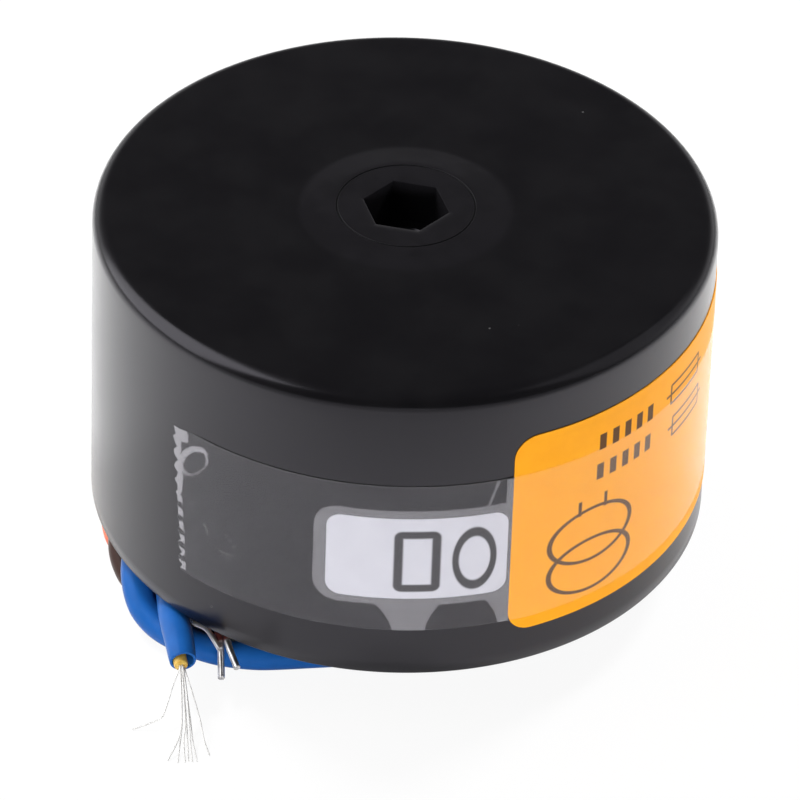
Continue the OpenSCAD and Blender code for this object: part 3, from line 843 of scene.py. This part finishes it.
def off_labels(u, v):
    """Distance from the nearer label's edge, in the tape's lay, and below 0 on a label."""
    rating = off_box(u, v, RATING_LEFT, RATING_LOW - TAPE_LOW, RATING_L, RATING_H, RATING_CORNER)
    return smaller(rating, off_small_label(u, v))


def torn_lean(v):
    return TORN_AT - TORN_LEAN / TAPE_W * v


def torn_edge(v):
    """Where the torn end of the tape lies, with the teeth of the blade on a ragged lean."""
    tooth = np.abs((v / TAPE_W * TEETH) % 1 - 0.5) * 2
    ragged = 0.1 * np.sin(3.1 * v) + 0.07 * np.sin(7.7 * v + 1)
    return torn_lean(v) + TOOTH_L * (0.3 - 0.6 * tooth) + ragged


def tape_mesh():
    v = np.linspace(0, TAPE_W, TAPE_ROWS)[:, None]
    share = np.linspace(0, 1, TAPE_COLUMNS)[None, :] ** TAPE_CROWDING
    left = torn_edge(v)
    u = left + share * (TAPE_L - left)
    v = v * (1 - DROOP * np.clip(1 - u / DROOP_L, 0, 1) ** 2)
    near = np.clip(1 - off_labels(u, v) / TAPE_BRIDGE, 0, 1)
    lift = TAPE_AIR + LABEL_T * near * near * (3 - 2 * near)
    return sheet_mesh(TAPE_AZ, u, v, TAPE_LOW, lift, lift + TAPE_T)


def stroke(distance, width):
    """A printed line along the places where a distance is 0."""
    return 1 - abs(distance).rise(0.35 * width, 0.65 * width)


def off_oval(u, v, centre, half_width, half_height):
    x, y = (u - centre[0]) / half_width, (v - centre[1]) / half_height
    return ((x * x + y * y) ** 0.5 - 1) * (half_height + half_width) / 2


def bar(u, v, left, low, width, height):
    return inside(off_box(u, v, left, low, width, height, 0.02))


def rating_print(u, v):
    """The symbols of a transformer and of two fuses, with a row of plain blocks by each fuse."""
    ink = [stroke(off_oval(u, v, *oval), WINDING_LINE) for oval in WINDING_SIGNS]
    ink += [bar(u, v, left, TAIL_LOW, TAIL_W, TAIL_H) for left in TAIL_SIGNS]
    for left, low in FUSE_SIGNS:
        ink.append(stroke(off_box(u, v, left, low, FUSE_L, FUSE_H, 0.1), FUSE_LINE))
        middle = low + (FUSE_H - FUSE_LINE) / 2
        ink.append(bar(u, v, left - FUSE_TAIL, middle, FUSE_L + 2 * FUSE_TAIL, FUSE_LINE))
    for first, low in BLOCK_ROWS:
        for i in range(BLOCK_COUNT):
            ink.append(bar(u, v, first + BLOCK_PITCH * i, low, BLOCK_W, BLOCK_H))
    return reduce(larger, ink)


def small_print(u, v):
    """A thick upright frame and a thick ring."""
    upright = off_box(u, v, left=7.5, low=1.4, width=3.9, height=7, corner=0.4)
    ring = off_oval(u, v, centre=(15.4, 4.9), half_width=2, half_height=3.5)
    return larger(stroke(upright, MARK_LINE), stroke(ring, MARK_LINE))


def label_finish(name, low, colour, shade, ink, printed):
    """Paper with a plain print that is a little worn, and glossy where the tape covers it."""
    finish = Finish(name, IOR=1.48, Specular_IOR_Level=0.2, Coat_IOR=1.47, Coat_Roughness=0.15)
    lay = finish.lay()
    u, v, _ = finish.axes(lay)
    cloud = finish.noise(lay, scale=0.35, detail=3, roughness=0.6)
    worn = finish.noise(lay, scale=9, detail=2)
    paper = finish.blend(cloud.rise(0.3, 0.7), shade, colour)
    mark = printed(u + 0.08 * (worn - 0.5), v) * (0.95 + 0.05 * worn)
    finish.vary("Base Color", finish.blend(mark, paper, ink))
    finish.vary("Roughness", 0.42 + 0.1 * cloud)
    finish.vary("Coat Weight", 0.55 * inside(abs(v - (TAPE_LOW - low + TAPE_W / 2)) - TAPE_W / 2))
    finish.bump(finish.noise(lay, scale=2.5, detail=3), depth=0.01, strength=0.4)
    return finish


def air_by_labels(u, v, ragged):
    """Where the tape bridges from the labels to the wall, with channels down to its lower edge."""
    flare = 0.25 * v ** 1.6
    halo = off_box(
        u, v, left=SMALL_LEFT - 1.35, low=3.4, width=SMALL_L + 10, height=12.4, corner=2.6)
    channel = off_box(
        u, v, left=24.8 - flare, low=-1, width=3.4 + 1.8 * flare, height=5, corner=0.1)
    by_rating = smaller(larger(35.9 - 0.8 * flare - u, v - 4), 36.3 - u)
    fold = larger(abs(u - 29.5 - 0.314 * v) - 0.14, 15 - v)
    return inside(reduce(smaller, [halo, channel, by_rating, fold]) + 0.3 * ragged, 0.08)


def air_at_torn_end(u, v, ragged):
    """A blotch in the corner, a bubble, a ragged band and, lower down, a fleck at each tooth."""
    corner = off_oval(u, v, centre=(0.2, 18), half_width=1.1, half_height=0.95)
    slid = v - 0.7 * u
    bubble = off_oval(u, slid, centre=(1.9, 14), half_width=2.1, half_height=1.95)
    hollow = off_oval(u, slid, centre=(2.25, 13.75), half_width=1.6, half_height=1.4)
    bubble = larger(bubble, hollow * -1)
    depth = u - torn_lean(v)
    band = depth + 0.5 - 1.4 * v.rise(7.5, 11.5)
    tooth = abs((v * (TEETH / TAPE_W)).worked("FRACT") - 0.5)
    fleck = larger(depth - 0.75, (tooth - 0.28) * 1.7)
    faint = 0.35 + 0.65 * slid.rise(12.2, 13.6)
    blotch = larger(inside(corner + ragged, 0.1), faint * inside(bubble + ragged, 0.1))
    return larger(blotch, inside(smaller(band, fleck) + 0.7 * ragged, 0.09))


def tape_finish():
    """Clear tape: nearly invisible where it has wetted the wall, milky where air lies under it, with a
    painted shade line along its top edge over the bare wall.
    """
    finish = Finish("clear tape", IOR=1.47, Roughness=0.3)
    lay = finish.lay()
    u, v, _ = finish.axes(lay)
    ragged = finish.noise(lay, scale=1.4, detail=3, roughness=0.6) - 0.5
    cloud = finish.noise(lay, scale=0.3, detail=2)
    bare = 1 - inside(smaller(off_small_label(u, v), RATING_LEFT - u))
    milk = larger(0.11 * air_by_labels(u, v, ragged), 0.2 * air_at_torn_end(u, v, ragged))
    wavy = v + 0.4 * ragged
    scuff = reduce(larger, [inside(off_box(u, wavy, *box, corner=0.05), 0.06) for box in SCUFFS])
    # Painted shade: a dark, half-opaque line along the tape's top edge where it lies on the bare wall
    edge = bare * v.rise(TAPE_W - 0.16, TAPE_W - 0.08)
    finish.vary("Base Color", finish.blend(edge, (0.81, 0.79, 0.85, 1), grey(0.01)))
    finish.vary("Alpha", 0.015 + 0.008 * cloud + bare * milk + 0.07 * scuff + 0.5 * edge)
    finish.bump(cloud, depth=0.03, strength=0.4)
    return finish


def add_labels():
    orange = label_finish(
        "orange label", RATING_LOW, colour=(0.96, 0.385, 0.006, 1), shade=(0.93, 0.365, 0.004, 1),
        ink=(0.085, 0.035, 0.012, 1), printed=rating_print)
    white = label_finish(
        "white label", SMALL_LOW, colour=(0.59, 0.585, 0.65, 1), shade=(0.56, 0.555, 0.62, 1),
        ink=(0.02, 0.018, 0.022, 1), printed=small_print)
    add_label("orange_label", RATING_AZ, RATING_L, RATING_H, RATING_LOW, RATING_CORNER, orange,
              "rating_label")
    add_label("white_label", SMALL_AZ, SMALL_L, SMALL_H, SMALL_LOW, SMALL_CORNER, white,
              "small_label")
    points, faces, lay = tape_mesh()
    add_piece("tape_strip", points, faces, tape_finish(), "clear_tape", lay)


# Pieces that stay as the frame gives them

def resin_finish():
    finish = Finish("potting resin", IOR=1.55)
    place = finish.place()
    cloud = finish.noise(place, scale=160, detail=4)
    finish.vary("Base Color", finish.blend(cloud, grey(0.01, -0.05), grey(0.02, -0.05)))
    finish.vary("Roughness", 0.22 + 0.2 * cloud)
    finish.bump(finish.noise(place, scale=260, detail=2), depth=0.3, strength=0.5)
    return finish


def steel_finish():
    finish = Finish("wound steel strip", Metallic=1.0)
    x, y, _ = finish.axes(finish.place())
    edge = finish.noise(finish.place(), scale=3000, detail=2)
    strips_per_metre = 4000
    turns = ((x * x + y * y) ** 0.5 * strips_per_metre).worked("FRACT")
    finish.vary("Base Color", finish.blend(turns.rise(0.7, 1), grey(0.42), grey(0.2)))
    finish.vary("Roughness", 0.3 + 0.25 * edge)
    finish.bump(turns, depth=0.02, strength=0.6)
    return finish


def winding_finish(name, colour, deep, turns):
    """Enamelled wire, its turns side by side round the ring, painted darker between the turns as shade.
    """
    finish = Finish(name, Metallic=0.85)
    wire = abs(finish.laps(turns) - 0.5) * 2
    # Painted shade: the colour turns deep toward the seams between the turns
    finish.vary("Base Color", finish.blend(wire.rise(0.3, 1), colour, deep))
    finish.vary("Roughness", 0.25 + 0.2 * wire)
    finish.bump(1 - wire, depth=0.2, strength=0.8)
    return finish


def film_finish():
    """Polyester film wound round the ring in overlapping turns."""
    finish = Finish("insulation film", IOR=1.6)
    lap = finish.laps(count=40)
    colour, edge = (0.75, 0.58, 0.16, 1), (0.5, 0.35, 0.06, 1)
    finish.vary("Base Color", finish.blend(lap.rise(0.85, 1), colour, edge))
    finish.vary("Roughness", 0.2 + 0.15 * lap)
    finish.bump(lap, depth=0.06, strength=0.6)
    return finish


def splice_finish():
    finish = Finish("shrunk sleeve", IOR=1.5)
    grain = finish.noise(finish.place(), scale=2200, detail=3)
    finish.vary("Base Color", finish.blend(grain, grey(0.03), grey(0.05)))
    finish.vary("Roughness", 0.45 + 0.2 * grain)
    finish.bump(grain, depth=0.05, strength=0.5)
    return finish


def finish_inner_pieces():
    film, splice = film_finish(), splice_finish()
    primary = winding_finish(
        "primary turns", colour=(0.42, 0.14, 0.06, 1), deep=(0.16, 0.04, 0.02, 1), turns=420)
    secondary = winding_finish(
        "secondary turns", colour=(0.5, 0.2, 0.08, 1), deep=(0.2, 0.06, 0.02, 1), turns=120)
    finishes = {
        "potting_compound": resin_finish(),
        "core": steel_finish(),
        "core_insulation": film,
        "primary_winding": primary,
        "interwinding_insulation": film,
        "secondary_winding": secondary,
        "outer_wrap": film,
        "blue_splice": splice,
        "brown_splice": splice,
    }
    for node, finish in finishes.items():
        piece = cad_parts[node]
        piece.data.materials.clear()
        piece.data.materials.append(finish.material)


# Floor and light

def floor_finish():
    """Pale floor that looks white to the eye and still takes the shadow, its grey painted darker in
    front of the cup as shade.
    """
    finish = Finish("pale floor", Roughness=0.9)
    y = finish.axes(finish.place())[1]
    # Painted shade: the floor's grey is darker in front of the cup, so the cup's wall mirrors a darker
    # floor there
    finish.vary("Base Color", finish.blend(y.rise(*FLOOR_CHANGE), grey(FLOOR_PAINTED_SHADE), grey(FLOOR_FAR)))
    ray = {kind: finish.node("ShaderNodeLightPath", output=kind)
           for kind in ("Is Camera Ray", "Is Glossy Ray", "Is Transmission Ray")}
    mirrored = larger(ray["Is Glossy Ray"], ray["Is Transmission Ray"])
    white = finish.tree.nodes.new("ShaderNodeEmission")
    mixed = finish.tree.nodes.new("ShaderNodeMixShader")
    share = larger(FLOOR_WHITE * ray["Is Camera Ray"], FLOOR_MIRRORED * mirrored)
    finish.plug(mixed.inputs[0], share)
    finish.tree.links.new(finish.shader.outputs[0], mixed.inputs[1])
    finish.tree.links.new(white.outputs[0], mixed.inputs[2])
    finish.tree.links.new(mixed.outputs[0], finish.tree.nodes["Material Output"].inputs[0])
    return finish


def add_floor():
    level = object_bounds()[0].z
    mesh = bpy.data.meshes.new("floor")
    sides = [(-1, -1), (1, -1), (1, 1), (-1, 1)]
    corners = [(FLOOR_REACH * x, FLOOR_REACH * y, level) for x, y in sides]
    mesh.from_pydata(corners, [], [(0, 1, 2, 3)])
    mesh.materials.append(floor_finish().material)
    floor = bpy.data.objects.new("floor", mesh)
    bpy.context.scene.collection.objects.link(floor)


def heading(azimuth, elevation):
    turn, tilt = math.radians(azimuth), math.radians(elevation)
    return Vector((math.sin(turn) * math.cos(tilt), -math.cos(turn) * math.cos(tilt), math.sin(tilt)))


def add_lamp(data, place, aim, power):
    data.energy = power
    lamp = bpy.data.objects.new(data.name, data)
    lamp.location = place
    lamp.rotation_euler = (aim - place).to_track_quat("-Z", "Y").to_euler()
    bpy.context.scene.collection.objects.link(lamp)
    return lamp


def add_softbox(name, azimuth, elevation, distance, size, power):
    """A square soft lamp that faces the cup."""
    data = bpy.data.lights.new(name, "AREA")
    data.size = size
    return add_lamp(data, distance * heading(azimuth, elevation), Vector(), power)


def add_floor_wash(name, side):
    """A soft spot from behind on the floor at one side of the cup."""
    data = bpy.data.lights.new(name, "SPOT")
    data.spot_size = math.radians(WASH_CONE)
    data.spot_blend = 1
    data.shadow_soft_size = WASH_SOFT
    place = Vector((side * WASH_PLACE[0], *WASH_PLACE[1:]))
    aim = Vector((side * WASH_AIM[0], WASH_AIM[1], MM * RIM_Z))
    wash = add_lamp(data, place, aim, WASH_POWER)
    wash.visible_glossy = False


def add_lights():
    add_softbox("softbox_left", azimuth=-95, elevation=36, distance=0.9, size=1.0, power=7.2)
    add_softbox("panel_right", azimuth=95, elevation=35, distance=0.9, size=0.9, power=0.8)
    fill = add_softbox("fill_front", azimuth=4, elevation=6, distance=1.0, size=0.22, power=6.5)
    fill.visible_glossy = False
    add_floor_wash("wash_left", -1)
    add_floor_wash("wash_right", 1)


def add_sky():
    """A dim room with a glow low down behind the cup, weaker in the middle."""
    sky = Sky("studio")
    x, y, z = sky.axes(sky.node("ShaderNodeTexCoord", output="Generated"))
    behind = y.rise(-0.2, 0.8)
    low_down = 1 - z.rise(0.1, 0.45)
    aside = 0.35 + 0.65 * abs(x).rise(0.05, 0.4)
    sky.vary("Color", sky.blend(behind * low_down * aside, grey(0.04), grey(0.8)))
    bpy.context.scene.world = sky.material


add_camera()
add_leads()
add_cup()
add_labels()
finish_inner_pieces()
add_floor()
add_lights()
add_sky()
bpy.context.scene.view_settings.view_transform = "Standard"
